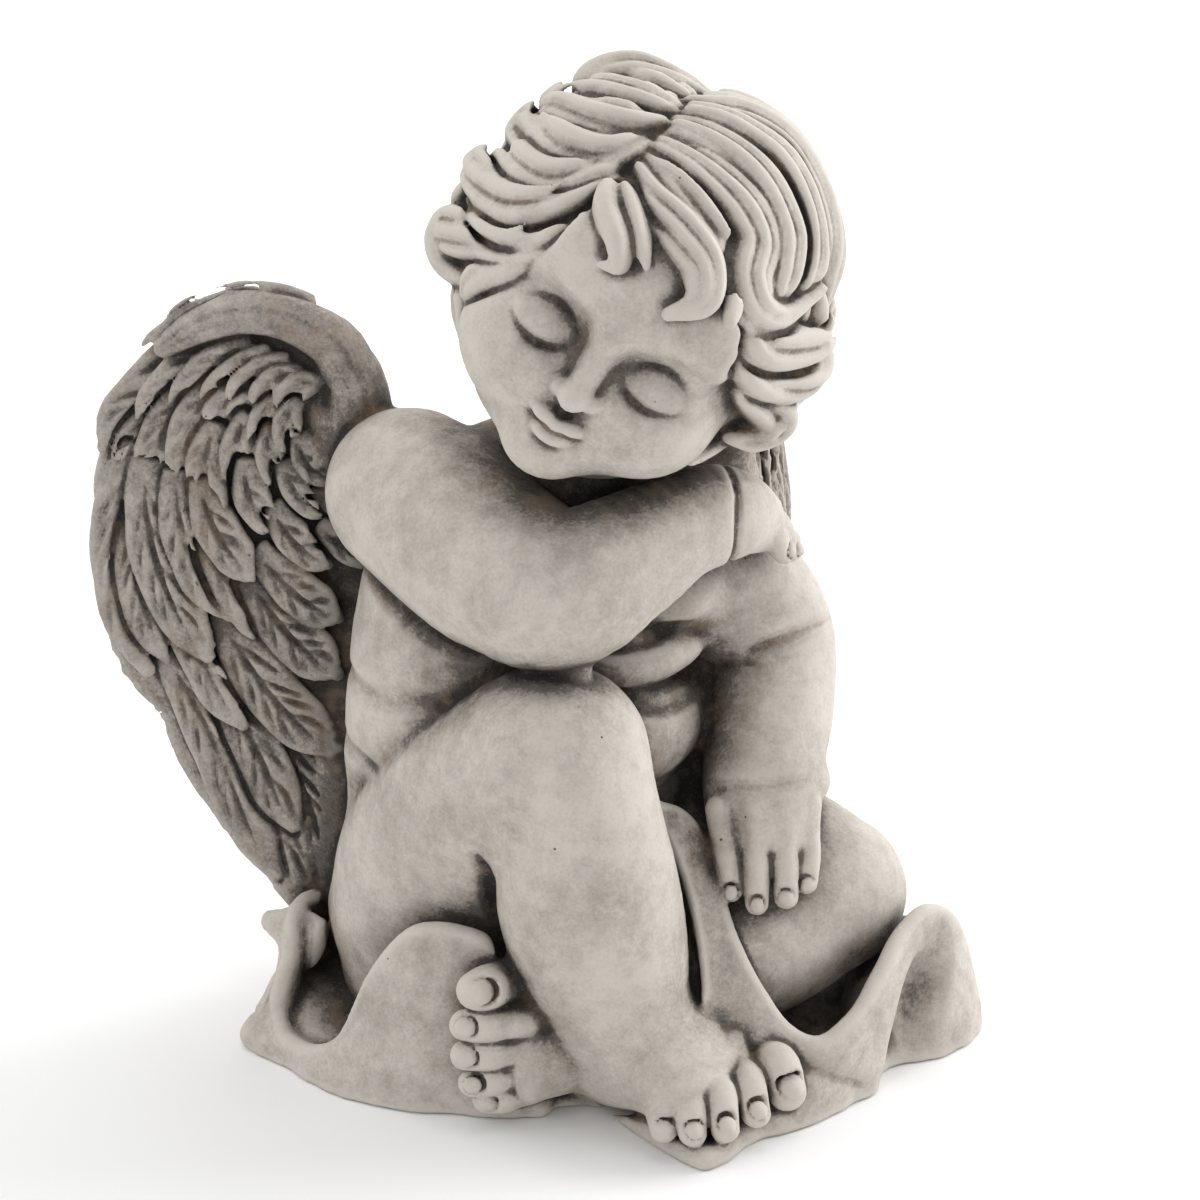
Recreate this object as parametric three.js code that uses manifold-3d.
// Seated putto with folded wings on a gathered cloth, cast as one piece.
// Millimetres, +Z up, the front towards -Y, the origin on the ground under the middle of the statue.
import * as THREE from "three";
import { mergeVertices } from "three/addons/utils/BufferGeometryUtils.js";
import Module from "manifold-3d";

const wasm = await Module();
wasm.setup();

// Driving dimensions: joints, girths and angles. A girth is a radius, or [across, through].
const ORIGIN_SHIFT = [0.5, -9, 0]; // from the drawing's zero to the middle of the footprint
const STONE = { color: 0xb9b0a4, roughness: 0.9, metalness: 0 };
const WELD = 1e-3; // vertices closer than this are one
const SLIVER = 0.55; // flatter detail than this is dropped from the joined skin

// "up" is the way a form's through axis leans; sides and steps are the facets round it and along it.
const TORSO = {
  joints: [[-2, 13, 18], [-2, 10, 46], [-2, 8, 76], [0, 9, 104], [9, 8, 122]],
  girths: [[40, 32], [40, 31], [39, 29], [35, 25], [15, 14]],
  up: [0.45, -0.89, 0],
  sides: 14,
  steps: 7,
};
const NECK = { joints: [[8, 8, 116], [19, 0, 144]], girths: [16, 15] };
const RIGHT_UPPER_ARM = {
  joints: [[-22, 4, 118], [-10, -14, 112], [4, -26, 110]],
  girths: [17.5, 17, 15.5],
};
const RIGHT_FOREARM = { joints: [[4, -26, 110], [19, -21, 113], [33, -12, 115]], girths: [15.5, 15, 12.5] };
const RIGHT_HAND = {
  joints: [[33, -11, 115], [43, -5, 113], [50, 0, 106]],
  girths: [[11, 10], [10, 6], [5, 4]],
  up: [0.3, -0.9, 0.3],
};
const LEFT_ARM = {
  joints: [[40, 13, 106], [49, 15, 92], [51, 13, 77], [48, 3, 66], [45.5, -6, 58]],
  girths: [16, 14.5, 13.5, 12.2, 10.5],
};
const LEFT_HAND = {
  joints: [[45.5, -6, 59], [45.5, -12, 53], [45.5, -15, 48]],
  girths: [[10.5, 9], [11, 7], [10, 4.5]],
  up: [0, -0.8, 0.6],
};
const RIGHT_THIGH = { joints: [[-16, 4, 28], [-9, -14, 52], [5, -30, 75]], girths: [26, 23.5, 18] };
const RIGHT_SHIN = { joints: [[5.5, -31, 76], [10, -33, 49], [17, -36, 18]], girths: [17.5, 15.8, 12.5] };
const LEFT_THIGH = { joints: [[14, 12, 30], [38, 7, 35], [60, 1, 34]], girths: [24, 20, 14.5] };
const LEFT_SHIN = { joints: [[60, 1, 32], [36, -16, 24], [8, -30, 16]], girths: [14, 14, 10.5] };
const BUTTOCKS = [{ at: [-17, 33, 22], radii: [20, 17, 20] }, { at: [17, 36, 22], radii: [20, 15, 20] }];
const RIGHT_FOOT = {
  joints: [[11, -30, 9], [21, -40, 13], [33, -52, 9]],
  girths: [[10, 10], [12, 12], [14.5, 8]],
  up: [0, 0, 1],
};
const LEFT_FOOT = {
  joints: [[9, -29, 16], [1, -33, 17], [-7, -37, 18]],
  girths: [[12, 9], [13, 9], [13.5, 7]],
  up: [-0.5, -0.8, 0.3],
};

// Toes and fingers fan out along a line of knuckles, from the smallest to the largest.
const RIGHT_TOES = {
  from: [24.5, -56, 6.5],
  to: [44.5, -47.5, 8],
  reach: [3.4, -9.4, -1.6],
  girths: [3, 3.2, 3.3, 3.5, 4.2],
  lengths: [0.7, 0.85, 0.95, 1, 1],
};
const LEFT_TOES = {
  from: [-9, -39, 7.5],
  to: [-11, -41, 29],
  reach: [-6.5, -5, 0],
  girths: [3, 3.2, 3.3, 3.4, 4.2],
  lengths: [0.6, 0.8, 0.9, 1, 1],
};
const LEFT_FINGERS = {
  from: [53.5, -15.5, 50],
  to: [37.5, -15.5, 50],
  reach: [0, -3.5, -12],
  girths: [2.5, 2.9, 3, 2.8],
  lengths: [0.75, 1, 1.1, 0.9],
};
// A digit's places in shares of its length, its rise and tip in shares of its girth.
const DIGIT = { back: -0.5, knuckle: 0.5, rise: 0.12, tip: 0.85, sides: 7, steps: 2 };

const HEAD = {
  centre: [22, -4, 166.5],
  nod: 5, // degrees, forwards
  lean: 31, // degrees, towards the viewer's right
  turn: -13, // degrees, towards the viewer's left
  skull: [35.5, 38, 38], // half width, half depth, half height
};

// The face in the head's own frame: x across, y backwards, z up.
const FACE = [
  { at: [0, -21, -19], radii: [25, 18, 19] }, // jaw
  { at: [-14, -27, -16], radii: [12, 10, 12] }, // cheeks
  { at: [14, -27, -16], radii: [12, 10, 12] },
  { at: [0, -33, -30], radii: [7.5, 6.5, 6] }, // chin
  { at: [0, -38.5, -10], radii: [4, 5, 3.6] }, // tip of the nose
  { at: [-3.6, -36, -10.5], radii: [2.8, 3.2, 2.6] }, // nostrils
  { at: [3.6, -36, -10.5], radii: [2.8, 3.2, 2.6] },
  { at: [-12.5, -30.5, -1], radii: [6.5, 4, 4] }, // closed lids
  { at: [12.5, -30.5, -1], radii: [6.5, 4, 4] },
  { at: [0, -35, -18.5], radii: [6.5, 4, 2] }, // lips
  { at: [0, -34.5, -21.5], radii: [5, 4, 2.2] },
  { at: [-36, 0, -8], radii: [4, 6, 9] }, // ears
  { at: [36, 0, -8], radii: [4, 6, 9] },
];
const NOSE_BRIDGE = {
  joints: [[0, -33.5, 2], [0, -38, -9]],
  girths: [3, 3.4],
  up: [0, 0, 1],
  sides: 6,
  steps: 2,
};

// Locks of hair as [longitude, latitude] turns over the skull, from root through bend to tip.
// Longitude 0 is the face and 90 the viewer's right. A lock has a half width, a top over the skull
// at its bend and a flick off the skull at its tip.
const FRONT_LOCKS = [
  { turns: [[-24, 40], [-17, 28], [-1, 23]], half: 3.6, flick: 1 },
  { turns: [[-22, 44], [-11, 35], [4, 27]], half: 3.6, flick: 0 },
  { turns: [[-22, 50], [6, 45], [17, 24]], half: 5.2, flick: 1 },
  { turns: [[-27, 57], [17, 54], [27, 34]], half: 5, flick: 1 },
  { turns: [[-40, 66], [28, 66], [40, 37]], half: 5.5, flick: 1 },
  { turns: [[-74, 76], [75, 74], [54, 36]], half: 6, flick: 2, top: 7 },
  { turns: [[-142, 70], [118, 64], [72, 38]], half: 6, flick: 2, top: 9 },
  { turns: [[28, 41], [43, 27], [68, 34]], half: 4.6, flick: 6 },
  { turns: [[35, 25], [56, 20], [80, 25]], half: 4.8, flick: 7 },
  { turns: [[40, 15], [65, 5], [82, 14]], half: 4.6, flick: 6 },
  { turns: [[50, 8], [70, -6], [66, -20]], half: 4.4, flick: 2 },
  { turns: [[-72, 64], [-102, 46], [-100, 30]], half: 5, flick: 2, top: 8 },
  { turns: [[-57, 58], [-72, 43], [-77, 26]], half: 5, flick: 2, top: 8 },
  { turns: [[-42, 51], [-55, 38], [-64, 20]], half: 4.8, flick: 2, top: 8 },
  { turns: [[-35, 45], [-43, 30], [-61, 14]], half: 5, flick: 3, top: 8 },
  { turns: [[-32, 38], [-36, 21], [-58, 4]], half: 5.4, flick: 3, top: 8 },
  { turns: [[-30, 31], [-37, 10], [-66, -6]], half: 5.2, flick: 4 },
  { turns: [[-40, 8], [-58, -8], [-74, -16]], half: 4.6, flick: 5 },
  { turns: [[-60, -4], [-62, -20], [-52, -30]], half: 4.2, flick: 2 },
];
const BACK_LOCKS = {
  rows: [[66, 4], [40, 5], [14, 6], [-12, 5]], // latitude, and how many locks
  from: 100,
  to: 264,
  drop: 32,
  sway: 12,
  half: 9.5,
  flick: 2,
};
const LOCK = { sunk: 3, root: 2.5, bend: 5, tip: 2, widths: [0.7, 1, 0.45], sides: 6, steps: 3 };

// A wing is drawn on a logarithmic spiral: its edge starts small over the shoulder
// and opens as it turns downwards.
const WINGS = [
  { root: [-40, 22, 131], out: [-0.98, 0.17, 0], front: [-0.17, -0.98, 0] },
  { root: [37, 32, 122], out: [0.25, 0.97, 0], front: [0.97, -0.25, 0] },
];
const WING_EDGE = { start: 19, from: -75, growth: 0.0094, stretch: 0.28, stretchFrom: 70, stretchTo: 88 };
const WING_PLATE = { thick: 6, edge: 0.93, cup: 7, hub: 2, to: 112, across: 12, along: 2 };
const WING_RIM = {
  angles: [-150, -110, -75, -45, -15],
  reach: [9, 11, 17, 22, 31],
  girths: [7, 7, 6.5, 5.5, 3],
  front: 3,
  sides: 8,
  steps: 6,
};
const WING_ARM = { inset: 18, drop: 10, girths: [10, 8.5], sides: 8, steps: 3 };
const WING_WEB = { joints: [[25, 22, 112], [26, 26, 80], [22, 30, 40]], girths: [11, 10, 9] }; // left wing's root
const FEATHER_ROWS = [
  { scale: 1, tips: [-16, 14, 37, 55, 86], sweep: 40, lift: 2, half: 0.11 },
  { scale: 0.74, tips: [-10, 18, 42, 64, 84], sweep: 40, lift: 4.5, half: 0.15 },
  { scale: 0.5, tips: [-6, 30, 62, 90], sweep: 46, lift: 6.5, half: 0.17 },
];
const BACK_FEATHER_ROWS = [
  { scale: 0.98, tips: [0, 30, 56, 82], sweep: 46, lift: -2, half: 0.16 },
  { scale: 0.64, tips: [0, 40, 78], sweep: 50, lift: -4.5, half: 0.19 },
];
const FEATHER = { thick: 4.4, widths: [0.6, 1, 0.45], thins: [1, 1, 0.6], sides: 6, steps: 3 };

// The cloth: its outline on the ground, and gathered walls, each between a foot on the ground and a hem.
const CLOTH_OUTLINE = [
  [-60, 4], [-51, -13], [-34, -30], [-14, -34], [9, -33], [20, -47], [35, -60], [46, -48],
  [65, -26], [88, -2], [84, 26], [56, 46], [18, 56], [-24, 48], [-52, 28],
];
const CLOTH = { height: 5, bevel: 2.2, points: 44 };
const SEAT = { at: [8, 12, 4], radii: [56, 38, 20], sides: 20, rows: 10 };
const LEFT_WALL = {
  hem: [
    [-40, 30, 22], [-51, 20, 21], [-56, 10, 22], [-53, 0, 13], [-51, -12, 7],
    [-44, -19, 6.5], [-38, -23, 12], [-31, -28, 27], [-23, -32, 37], [-10, -35, 37],
  ],
  foot: [
    [-50, 28, 0], [-57, 18, 0], [-60, 8, 0], [-59, -2, 0], [-52, -12, 0],
    [-43, -21, 0], [-36, -28, 0], [-28, -31, 0], [-18, -33, 0], [-5, -35, 0],
  ],
  middle: [-14, 10, 0],
  thick: [5, 10],
  across: 18,
};
const LAP_WALL = {
  hem: [[24, -6, 52], [32, -13, 49], [36, -20, 43], [40, -27, 33], [46, -34, 22], [54, -36, 15]],
  foot: [[26, -10, 16], [32, -20, 6], [36, -28, 0], [41, -37, 0], [48, -42, 0], [55, -38, 0]],
  middle: [34, 24, 0],
  thick: [8, 11],
  across: 12,
};
const RIGHT_WALL = {
  hem: [[48, -35, 20], [54, -36, 15], [65, -23, 17], [74, -8, 28], [81, 0, 27], [88, 6, 15], [86, 20, 9]],
  foot: [[48, -43, 0], [55, -38, 0], [68, -24, 0], [76, -14, 0], [84, -5, 0], [90, 2, 0], [86, 22, 0]],
  middle: [34, 14, 0],
  thick: [4, 9],
  across: 14,
};
// Round the back the cloth lies in low even gathers.
const BACK_GATHERS = {
  count: 6,
  centre: [17, 4],
  radii: [69, 50],
  from: 8,
  to: 152,
  low: 7,
  high: 15,
  inset: 6,
  deep: 3,
  thick: [6, 12],
};
const GATHER_SAMPLES = 4; // points of a gather's wave
const WALL_ROWS = 2;
const GROUND = { half: 150, deep: 40 };
// A form's rounded end, in shares of its girth.
const CAPS = [{ along: -0.9, share: 0 }, { along: -0.65, share: 0.7 }];
const STEEP = 0.9; // the share of a limb's length from which it counts as upright

const vec = (point) => new THREE.Vector3(...point);
const pair = (girth) => (Array.isArray(girth) ? girth : [girth, girth]);
const degrees = THREE.MathUtils.degToRad;
const mix = THREE.MathUtils.lerp;

// A closed geometry as a solid; a mirrored one comes out inside out and is turned round.
function solid(geometry) {
  geometry.deleteAttribute("normal");
  geometry.deleteAttribute("uv");
  const merged = mergeVertices(geometry, WELD);
  const triVerts = new Uint32Array(merged.index.array);
  const vertProperties = merged.attributes.position.array;
  const made = new wasm.Manifold(new wasm.Mesh({ numProp: 3, vertProperties, triVerts }));
  if (made.volume() > 0) return made;
  return new wasm.Manifold(new wasm.Mesh({ numProp: 3, vertProperties, triVerts: triVerts.reverse() }));
}

// An ellipsoid; a frame carries it from its own axes to the statue's.
function lump(at, radii, { sides = 12, rows = 8, frame } = {}) {
  const ball = new THREE.SphereGeometry(1, sides, rows).rotateX(Math.PI / 2);
  ball.scale(...radii).translate(...at);
  if (frame) ball.applyMatrix4(frame);
  return solid(ball);
}

// A tapering round-ended form: an oval section carried along a smooth path through the joints.
// Its through axis leans to "up", a vector or a function of the point.
function sweep({ joints, girths, up, sides = 10, steps = 5 }) {
  const path = new THREE.CatmullRomCurve3(joints.map(vec));
  const girth = new THREE.CatmullRomCurve3(girths.map((g) => vec([...pair(g), 0])));
  const turned = CAPS.map(({ along, share }) => ({ t: 1, along: -along, share })).reverse();
  const between = Array.from({ length: steps + 1 }, (_, k) => ({ t: k / steps, along: 0, share: 1 }));
  const stations = [...CAPS.map((cap) => ({ t: 0, ...cap })), ...between, ...turned];
  const skin = new THREE.SphereGeometry(1, sides, stations.length - 1);
  const position = skin.attributes.position;
  stations.forEach(({ t, along, share }, row) => {
    const middle = path.getPoint(t);
    const tangent = path.getTangent(t);
    const section = girth.getPoint(t);
    const through = vec(Array.isArray(up) ? up : up(middle));
    through.addScaledVector(tangent, -through.dot(tangent)).normalize();
    const across = through.clone().cross(tangent);
    middle.addScaledVector(tangent, along * Math.min(section.x, section.y));
    for (let side = 0; side <= sides; side++) {
      const angle = (2 * Math.PI * side) / sides;
      const point = middle.clone();
      point.addScaledVector(across, share * section.x * Math.cos(angle));
      point.addScaledVector(through, share * section.y * Math.sin(angle));
      position.setXYZ(row * (sides + 1) + side, point.x, point.y, point.z);
    }
  });
  return solid(skin);
}

// A round limb: its through axis is square to the line between its ends.
function limb(form) {
  const chord = vec(form.joints.at(-1)).sub(vec(form.joints[0]));
  const upright = Math.abs(chord.z) > STEEP * chord.length();
  const beside = chord.clone().cross(vec(upright ? [1, 0, 0] : [0, 0, 1]));
  return sweep({ up: beside.toArray(), steps: 4, ...form });
}

// A box bent to a map from its u and v (0 to 1) and its depth w (-0.5 to 0.5).
function bentBox(map, across, up) {
  const box = new THREE.BoxGeometry(1, 1, 1, across, up, 1);
  const position = box.attributes.position;
  for (let i = 0; i < position.count; i++) {
    const point = map(position.getX(i) + 0.5, position.getY(i) + 0.5, position.getZ(i));
    position.setXYZ(i, point.x, point.y, point.z);
  }
  return solid(box);
}

// Short round digits along a line of knuckles.
function digits({ from, to, reach, girths, lengths }) {
  return girths.map((girth, k) => {
    const root = vec(from).lerp(vec(to), k / (girths.length - 1));
    const tip = root.clone().addScaledVector(vec(reach), lengths[k]);
    const knuckle = root.clone().lerp(tip, DIGIT.knuckle).add(vec([0, 0, DIGIT.rise * girth]));
    const back = root.clone().lerp(tip, DIGIT.back);
    const joints = [back, knuckle, tip].map((point) => point.toArray());
    const { sides, steps } = DIGIT;
    return limb({ joints, girths: [girth, girth, DIGIT.tip * girth], sides, steps });
  });
}

// Torso, neck, limbs, feet and hands.
function body() {
  const arms = [RIGHT_UPPER_ARM, RIGHT_FOREARM, LEFT_ARM];
  const legs = [RIGHT_THIGH, RIGHT_SHIN, LEFT_THIGH, LEFT_SHIN];
  return [
    ...[TORSO, RIGHT_HAND, LEFT_HAND, RIGHT_FOOT, LEFT_FOOT].map(sweep),
    ...[NECK, ...arms, ...legs].map(limb),
    ...BUTTOCKS.map(({ at, radii }) => lump(at, radii)),
    ...[RIGHT_TOES, LEFT_TOES, LEFT_FINGERS].flatMap(digits),
  ];
}

const headFrame = new THREE.Matrix4()
  .makeRotationFromEuler(new THREE.Euler(degrees(HEAD.nod), degrees(HEAD.lean), degrees(HEAD.turn), "ZXY"))
  .setPosition(...HEAD.centre);

// A point over the skull at a longitude and latitude, raised off it.
function overSkull([longitude, latitude], raise) {
  const [lon, lat] = [degrees(longitude), degrees(latitude)];
  const way = vec([Math.sin(lon) * Math.cos(lat), -Math.cos(lon) * Math.cos(lat), Math.sin(lat)]);
  const reach = 1 / way.clone().divide(vec(HEAD.skull)).length();
  return way.multiplyScalar(reach + raise).applyMatrix4(headFrame).toArray();
}

// A lock lies on the skull, swells at its bend and flicks off at its tip.
function lock({ turns, half, flick, top = LOCK.bend }) {
  const tops = [LOCK.root, top, LOCK.tip + flick];
  const joints = turns.map((turn, k) => overSkull(turn, (tops[k] - LOCK.sunk) / 2));
  const girths = LOCK.widths.map((share, k) => [share * half, (tops[k] + LOCK.sunk) / 2]);
  const up = (point) => point.clone().sub(vec(HEAD.centre)).toArray();
  return sweep({ joints, girths, up, sides: LOCK.sides, steps: LOCK.steps });
}

// Rows of plain locks fall over the back of the head.
function backLocks() {
  const { rows, drop, sway, half, flick, from, to } = BACK_LOCKS;
  return rows.flatMap(([latitude, count]) =>
    Array.from({ length: count }, (_, k) => {
      const longitude = mix(from, to, (k + 0.5) / count);
      const bend = [longitude + sway, latitude - drop / 2];
      const turns = [[longitude, latitude], bend, [longitude, latitude - drop]];
      return lock({ turns, half, flick });
    }),
  );
}

function head() {
  const bridge = NOSE_BRIDGE.joints.map((joint) => vec(joint).applyMatrix4(headFrame).toArray());
  const { skull } = HEAD;
  return [
    lump([0, 0, 0], skull, { sides: 18, rows: 12, frame: headFrame }),
    ...FACE.map(({ at, radii }) => lump(at, radii, { sides: 10, rows: 7, frame: headFrame })),
    sweep({ ...NOSE_BRIDGE, joints: bridge }),
    ...FRONT_LOCKS.map(lock),
    ...backLocks(),
  ];
}

// The edge's radius at a spiral angle: it grows evenly, and the lowest feathers are drawn out longer.
function wingRadius(angle) {
  const { start, from, growth, stretch, stretchFrom, stretchTo } = WING_EDGE;
  const drawnOut = 1 + stretch * THREE.MathUtils.smoothstep(angle, stretchFrom, stretchTo);
  return start * Math.exp(growth * (angle - from)) * drawnOut;
}

// A point of a wing at a spiral angle (0 outwards, 90 down), a radius and a distance in front of its plate.
function wingPoint({ root, out, front }, angle, radius, ahead) {
  const cup = WING_PLATE.cup * (radius / wingRadius(WING_EDGE.stretchTo)) ** 2;
  return vec(root)
    .addScaledVector(vec(out), radius * Math.cos(degrees(angle)))
    .addScaledVector(vec([0, 0, -1]), radius * Math.sin(degrees(angle)))
    .addScaledVector(vec(front), ahead + cup);
}

// A feather follows an arc of the spiral to its tip.
function feather(wing, { scale, sweep: arc, lift, half }, tip) {
  const joints = [1, 0.5, 0].map((share) => {
    const angle = tip - share * arc;
    return wingPoint(wing, angle, scale * wingRadius(angle), lift).toArray();
  });
  const wide = half * scale * wingRadius(tip);
  const { thick, widths, thins, sides, steps } = FEATHER;
  const girths = widths.map((width, k) => [width * wide, thins[k] * thick]);
  return sweep({ joints, girths, up: wing.front, sides, steps });
}

function wing(frame) {
  const { thick, edge, hub, to, across, along } = WING_PLATE;
  const plate = (u, v, w) => {
    const angle = mix(WING_EDGE.from, to, u);
    return wingPoint(frame, angle, mix(hub, edge * wingRadius(angle), v), w * thick);
  };
  const { angles, reach, front } = WING_RIM;
  const rim = angles.map((angle, k) => wingPoint(frame, angle, reach[k], front).toArray());
  const { inset, drop } = WING_ARM;
  const inner = vec(frame.root).addScaledVector(vec(frame.out), -inset).sub(vec([0, 0, drop]));
  const rows = [...FEATHER_ROWS, ...BACK_FEATHER_ROWS];
  return [
    bentBox(plate, across, along),
    sweep({ ...WING_RIM, joints: rim, up: frame.front }),
    sweep({ ...WING_ARM, joints: [inner.toArray(), frame.root], up: frame.front }),
    ...rows.flatMap((row) => row.tips.map((tip) => feather(frame, row, tip))),
  ];
}

// A wall of cloth from its foot up to its hem, thin at the hem and thick at the foot.
function clothWall({ hem, foot, middle, thick, across }) {
  const [hemLine, footLine] = [hem, foot].map((line) => new THREE.CatmullRomCurve3(line.map(vec)));
  return bentBox(
    (u, v, w) => {
      const point = footLine.getPoint(u).lerp(hemLine.getPoint(u), v);
      const inwards = vec(middle).sub(point).setZ(0).normalize();
      return point.addScaledVector(inwards, (0.5 - w) * mix(thick[1], thick[0], v));
    },
    across,
    WALL_ROWS,
  );
}

// The back wall's hem and foot, in waves round an oval.
function backGathers() {
  const { count, centre, radii, from, to, low, high, inset, deep, thick } = BACK_GATHERS;
  const across = GATHER_SAMPLES * count;
  const samples = Array.from({ length: across + 1 }, (_, k) => k / across);
  const at = (share, inside, z) => {
    const angle = degrees(mix(from, to, share));
    const [wide, deepWide] = radii.map((radius) => radius - inside);
    return [centre[0] + wide * Math.cos(angle), centre[1] + deepWide * Math.sin(angle), z];
  };
  const wave = (share) => (1 - Math.cos(2 * Math.PI * count * share)) / 2;
  const hem = samples.map((share) => at(share, inset + deep * wave(share), mix(low, high, wave(share))));
  const foot = samples.map((share) => at(share, deep * wave(share), 0));
  return { hem, foot, middle: [...centre, 0], thick, across };
}

function cloth() {
  const corners = [...CLOTH_OUTLINE, CLOTH_OUTLINE[0]].map((corner) => new THREE.Vector2(...corner));
  const shape = new THREE.Shape(new THREE.SplineCurve(corners).getPoints(CLOTH.points).slice(0, -1));
  const { height, bevel } = CLOTH;
  const rounded = { bevelThickness: bevel, bevelSize: bevel, bevelOffset: -bevel, bevelSegments: 2 };
  return [
    solid(new THREE.ExtrudeGeometry(shape, { depth: height, steps: 1, ...rounded })),
    lump(SEAT.at, SEAT.radii, { sides: SEAT.sides, rows: SEAT.rows }),
    ...[LEFT_WALL, RIGHT_WALL, LAP_WALL, backGathers()].map(clothWall),
  ];
}

// Everything is one casting, cut off flat at the ground. Only its outer skin is kept, without the pockets
// that overlapping forms enclose and the slivers along their seams.
function statue() {
  const pieces = [...body(), ...head(), ...WINGS.flatMap(wing), limb(WING_WEB), ...cloth()];
  const { half, deep } = GROUND;
  const ground = new THREE.BoxGeometry(2 * half, 2 * half, deep).translate(0, 0, -deep / 2);
  const joined = wasm.Manifold.union(pieces).subtract(solid(ground));
  const shells = joined.asOriginal().simplify(SLIVER).decompose();
  const skin = shells.reduce((best, shell) => (shell.volume() > best.volume() ? shell : best));
  const cast = skin.translate(ORIGIN_SHIFT);
  const { vertProperties, triVerts } = cast.getMesh();
  const geometry = new THREE.BufferGeometry();
  geometry.setAttribute("position", new THREE.BufferAttribute(vertProperties, 3));
  geometry.setIndex(new THREE.BufferAttribute(triVerts, 1));
  geometry.computeVertexNormals();
  const mesh = new THREE.Mesh(geometry, new THREE.MeshStandardMaterial(STONE));
  mesh.name = "putto_statue";
  return mesh;
}

const part = new THREE.Group();
part.add(statue());
export default part;
